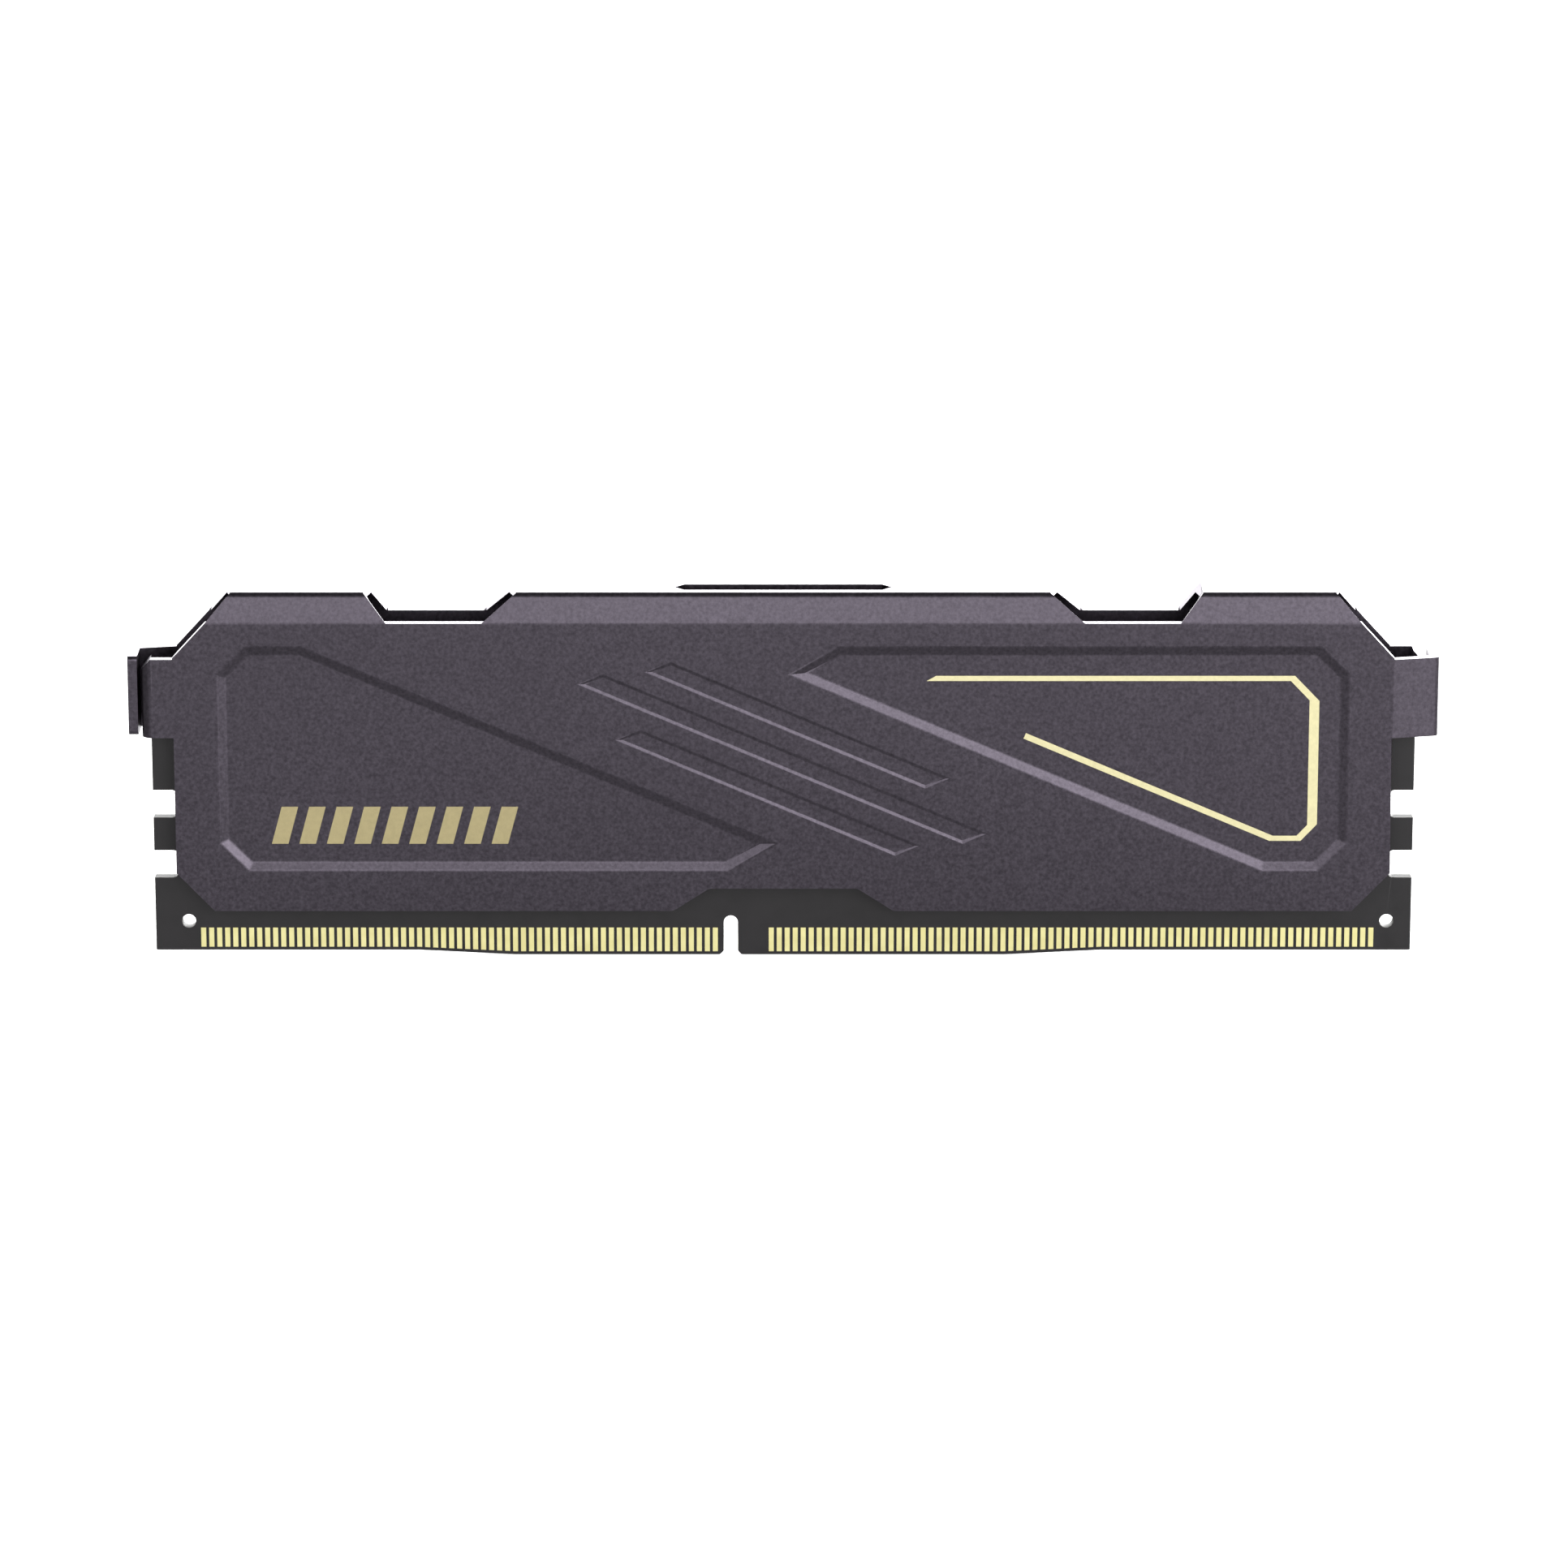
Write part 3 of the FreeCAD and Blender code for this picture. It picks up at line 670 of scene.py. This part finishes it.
def presence_detect_memory():
    """A small leadless package with four pads down each side."""
    node = "presence_detect_memory"
    low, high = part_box(node)
    foot, top = levels(node, "front")
    work = bmesh.new()
    add_slab(work, (low.x, high.x), (foot - SMALL_CHIP_LIFT, top), (low.z, high.z),
             SMALL_CHIP_ROUND, 0)
    across, along = SMALL_PAD_HALF
    for k in range(SMALL_CHIP_PADS):
        z = low.z + (high.z - low.z) * (k + 0.5) / SMALL_CHIP_PADS
        for x in (low.x, high.x):
            add_slab(work, (x - across, x + across), (foot, foot - SMALL_PAD_HEIGHT),
                     (z - along, z + along), SMALL_PAD_ROUND, 1)
    piece_from(work, "identity_memory", [MOULDING, TIN], [node])


def capacitor_row(kind, side, count, length, cap_length):
    """Multilayer capacitors: a ceramic block between two tinned ends."""
    node = "%s_%s" % (kind, side)
    low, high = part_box(node)
    foot, top = levels(node, side)
    out = outward(side)
    pitch = (high.x - low.x - length) / (count - 1)
    inset = CERAMIC_INSET
    work = bmesh.new()
    for k in range(count):
        left = low.x + pitch * k
        right = left + length
        add_slab(work, (left + inset, right - inset), (foot + out * inset, top - out * inset),
                 (low.z + inset, high.z - inset), CERAMIC_ROUND, 0)
        for start, end in ((left, left + cap_length), (right - cap_length, right)):
            add_slab(work, (start, end), (foot + out * inset / 2, top), (low.z, high.z),
                     END_ROUND, 1)
    piece_from(work, "%s_row_%s" % (kind, side), [CAPACITOR_BODY, TIN],
               [node])


def resistor_networks(side):
    """Four-way resistor chips: a glazed block with four tinned terminals along each long side."""
    node = "resistor_networks_" + side
    low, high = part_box(node)
    foot, top = levels(node, side)
    out = outward(side)
    count = round((high.x - low.x - NETWORK_LENGTH) / NETWORK_PITCH) + 1
    block_z = (low.z + NETWORK_RIM, high.z - NETWORK_RIM)
    work = bmesh.new()
    for k in range(count):
        left = low.x + NETWORK_PITCH * k
        add_slab(work, (left, left + NETWORK_LENGTH), (foot + out * NETWORK_RIM, top), block_z,
                 CERAMIC_ROUND, 0)
        for way in range(NETWORK_WAYS):
            x = left + NETWORK_LENGTH * (way + 0.5) / NETWORK_WAYS
            for span in ((low.z, low.z + TERMINAL_DEPTH), (high.z - TERMINAL_DEPTH, high.z)):
                add_slab(work, (x - TERMINAL_HALF, x + TERMINAL_HALF), (foot, top), span,
                         CERAMIC_ROUND, 1)
    piece_from(work, "resistor_network_row_" + side, [RESISTOR_BODY, TIN],
               [node])


PAD_COLUMNS = 96
PAD_INSET = 0.14 * MM                   # its rim starts this far inside its top and bottom
PAD_BULGE = 0.32 * MM
PAD_END_DRAW = 0.3 * MM                 # how much narrower it is at its two ends
PAD_WAVES = (53.0, 17.0)                # radians along the pad: the bulge comes and goes with these
# The rim's shape: shares of the bulge outwards, and of the thickness through.
PAD_RIM = [(0.0, 0.0), (0.18, 0.05), (0.34, 0.2), (0.4, 0.5), (0.34, 0.8), (0.18, 0.95), (0.0, 1.0)]


def thermal_pad(side):
    """A squeezed silicone strip: its faces lie flat on the chips and the shell, its rim bulges."""
    node = "thermal_pad_" + side
    low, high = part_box(node)
    thick = high.y - low.y
    fast, slow = PAD_WAVES
    work = bmesh.new()
    rings = []
    for k in range(PAD_COLUMNS + 1):
        share = k / PAD_COLUMNS
        x = low.x + (high.x - low.x) * share
        squeeze = PAD_BULGE * (0.6 + 0.4 * math.sin(share * fast) * math.sin(share * slow))
        end_draw = PAD_END_DRAW if k in (0, PAD_COLUMNS) else 0.0
        spots = []
        for outwards, through in PAD_RIM:
            z = low.z + PAD_INSET - squeeze * outwards + end_draw
            spots.append((x, low.y + thick * through, z))
        for outwards, through in reversed(PAD_RIM):
            z = high.z - PAD_INSET + squeeze * outwards - end_draw
            spots.append((x, low.y + thick * through, z))
        rings.append([work.verts.new(spot) for spot in spots])
    for before, after in zip(rings, rings[1:]):
        for j in range(len(before)):
            following = (j + 1) % len(before)
            work.faces.new((before[j], before[following], after[following], after[j]))
    work.faces.new(rings[0])
    work.faces.new(rings[-1])
    pad = piece_from(work, "gap_pad_" + side, [SILICONE], [node])


# ---------------------------------------------------------------- making the module

CHIPS_A_SIDE = 8
# For each kind of capacitor: how many in a row, how long one is, and how long its tinned ends are.
CAPACITORS = {
    "decoupling_capacitors": (17, 1.0 * MM, 0.25 * MM),
    "bulk_capacitors": (4, 3.2 * MM, 0.5 * MM),
}

circuit_board()
contacts()
presence_detect_memory()
for side in SIDES:
    heat_spreader(side)
    accent_line(side)
    accent_bars(side)
    for number in range(1, CHIPS_A_SIDE + 1):
        memory_chip(side, number)
    for kind, (count, length, end_length) in CAPACITORS.items():
        capacitor_row(kind, side, count, length, end_length)
    resistor_networks(side)
    thermal_pad(side)


# ---------------------------------------------------------------- floor, light and camera

FLOOR_HALF = 6.0
FLOOR_GAP = 0.05 * MM                   # below the contact edge
FLOOR_GLOW = 0.62


def level_square(name, half, material, gap):
    """A level square that reaches half metres to each side, a gap below the module."""
    work = bmesh.new()
    work.faces.new([work.verts.new(spot) for spot in
                    ((-half, -half, 0), (half, -half, 0), (half, half, 0), (-half, half, 0))])
    mesh = bpy.data.meshes.new(name)
    work.to_mesh(mesh)
    work.free()
    mesh.materials.append(material)
    square = bpy.data.objects.new(name, mesh)
    bpy.context.scene.collection.objects.link(square)
    square.location.z = cad_box[0].z - gap
    return square


def pale_floor():
    material, shader = start_material("pale_floor", (0.85, 0.85, 0.85), 0.7, specular=0.2)
    set_inputs(shader, {"Emission Color": (1.0, 1.0, 1.0, 1.0), "Emission Strength": FLOOR_GLOW})
    floor = level_square("floor", FLOOR_HALF, material, FLOOR_GAP)
    floor.visible_glossy = False


# The card below is a painted shadow: a dim glowing sheet, seen only in reflections, where the
# module's shade on the floor would be.
CARD_HALF = 0.25
CARD_GAP = 0.04 * MM                    # below the contact edge
CARD_LEVEL = 0.57
CARD_FADE = (0.02, 0.16)                # metres from the middle over which the card fades out
CARD_SQUEEZE = (0.9, 1.0, 1.0)          # and it reaches a little further along the module


def painted_floor_shadow_card():
    """A dim glowing card under the module, which only reflections see: a painted floor shadow,
    standing in for the module's shade on the ground near its foot. It darkens what mirrors the
    ground close by, and fades out towards its rim."""
    material = bpy.data.materials.new("painted_floor_shadow_card")
    material.use_nodes = True
    nodes = material.node_tree.nodes
    nodes.remove(nodes["Principled BSDF"])
    clear = add_node(material, "ShaderNodeBsdfTransparent")
    # The glow of the painted floor shadow, seen only in reflections.
    glow = add_node(material, "ShaderNodeEmission", {"Strength": CARD_LEVEL})
    mixed = add_node(material, "ShaderNodeMixShader")
    distance = add_node(material, "ShaderNodeVectorMath", operation="LENGTH")
    join(material, object_point(material, CARD_SQUEEZE), distance.inputs[0])
    fade = mapped(material.node_tree, distance.outputs["Value"], CARD_FADE, (1.0, 0.0))
    fade.node.interpolation_type = "SMOOTHSTEP"
    join(material, fade, mixed.inputs[0])
    join(material, clear.outputs[0], mixed.inputs[1])
    join(material, glow.outputs[0], mixed.inputs[2])
    join(material, mixed.outputs[0], nodes["Material Output"].inputs["Surface"])
    card = level_square("painted_floor_shadow_card", CARD_HALF, material, CARD_GAP)
    card.visible_camera = False
    card.visible_diffuse = False
    card.visible_shadow = False
    card.visible_transmission = False


# How bright the studio is by height: the sine of the elevation, and the brightness there.
BY_HEIGHT = [
    (-1.0, 0.45), (-0.7, 0.65), (-0.26, 0.87), (0.0, 1.45), (0.26, 3.2), (0.45, 2.15),
    (0.66, 0.6), (0.8, 0.22), (1.0, 0.2),
]
# A factor on that by side: the share of straight right, which is -1 straight left, and the factor.
BY_SIDE = [
    (-1.0, 0.3), (-0.8, 0.35), (-0.4, 0.78), (0.0, 0.96), (0.18, 0.86), (0.36, 2.3),
    (0.55, 1.6), (0.8, 1.05), (1.0, 0.9),
]
BRIGHTEST = 6.0                         # both lists are given to their ramps as shares of this
# Reflections of what is behind the module are this much brighter. The gain sets in while a
# direction's share of straight back, and of straight up, go from the first number to the second.
BACK_GAIN = 4.2
BACK_FROM = (0.66, 0.86)
BACK_ABOVE = (-0.3, -0.15)


def level_ramp(tree, place, levels, most):
    """Brightness by place from -1 to 1, as a share of the most there is."""
    ramp = tree.nodes.new("ShaderNodeValToRGB")
    tree.links.new(mapped(tree, place, (-1.0, 1.0), (0.0, 1.0)), ramp.inputs["Fac"])
    stops = ramp.color_ramp.elements
    while len(stops) < len(levels):
        stops.new(0.5)
    for stop, (where, bright) in zip(stops, levels):
        stop.position = (where + 1.0) / 2.0
        stop.color = (bright / most,) * 3 + (1.0,)
    return ramp.outputs["Color"]


def product(tree, *factors):
    """All the factors multiplied, each a socket or, but for the first, a number."""
    result = factors[0]
    for factor in factors[1:]:
        node = tree.nodes.new("ShaderNodeMath")
        node.operation = "MULTIPLY"
        tree.links.new(result, node.inputs[0])
        if isinstance(factor, float):
            node.inputs[1].default_value = factor
        else:
            tree.links.new(factor, node.inputs[1])
        result = node.outputs["Value"]
    return result


def studio():
    """The world: brightness by height, by side and, in reflections only, by being behind."""
    world = bpy.data.worlds.new("studio")
    bpy.context.scene.world = world
    world.use_nodes = True
    tree = world.node_tree
    background = tree.nodes["Background"]
    place = tree.nodes.new("ShaderNodeTexCoord")
    split = tree.nodes.new("ShaderNodeSeparateXYZ")
    tree.links.new(place.outputs["Generated"], split.inputs[0])
    height = level_ramp(tree, split.outputs["Z"], BY_HEIGHT, BRIGHTEST)
    side = level_ramp(tree, split.outputs["X"], BY_SIDE, BRIGHTEST)
    behind = mapped(tree, split.outputs["Y"], BACK_FROM, (0.0, 1.0))
    above = mapped(tree, split.outputs["Z"], BACK_ABOVE, (0.0, 1.0))
    ray = tree.nodes.new("ShaderNodeLightPath")
    reflected = mapped(tree, ray.outputs["Is Diffuse Ray"], (0.0, 1.0), (1.0, 0.0))
    gain = mapped(tree, product(tree, behind, above, reflected), (0.0, 1.0), (1.0, BACK_GAIN))
    strength = product(tree, height, side, gain, BRIGHTEST * BRIGHTEST)
    tree.links.new(strength, background.inputs["Strength"])
    set_inputs(background, {"Color": (1.0, 1.0, 1.0, 1.0)})


CAMERA_PITCH = math.radians(15.0)
CAMERA_DISTANCE = 0.7375
CAMERA_LENS = 160.1                     # millimetres, as is the sensor's width
SENSOR = 36.0
AIM_SHARE = 0.468                       # the aim point's height, as a share of the module's
AIM_OFFSET = (0.08 * MM, -0.5 * MM)     # and its place in X and Y, from the module's centre


def camera():
    data = bpy.data.cameras.new("camera")
    data.lens = CAMERA_LENS
    data.sensor_width = SENSOR
    data.clip_start = 0.01
    data.clip_end = 50.0
    viewer = bpy.data.objects.new("camera", data)
    bpy.context.scene.collection.objects.link(viewer)
    aim = Vector((module_centre.x + AIM_OFFSET[0], module_centre.y + AIM_OFFSET[1],
                  cad_box[1].z * AIM_SHARE))
    forward = Vector((0.0, math.cos(CAMERA_PITCH), -math.sin(CAMERA_PITCH)))
    viewer.location = aim - forward * CAMERA_DISTANCE
    viewer.rotation_mode = "QUATERNION"
    viewer.rotation_quaternion = forward.to_track_quat("-Z", "Y")
    bpy.context.scene.camera = viewer


pale_floor()
painted_floor_shadow_card()
studio()
camera()
bpy.context.scene.view_settings.view_transform = "Standard"
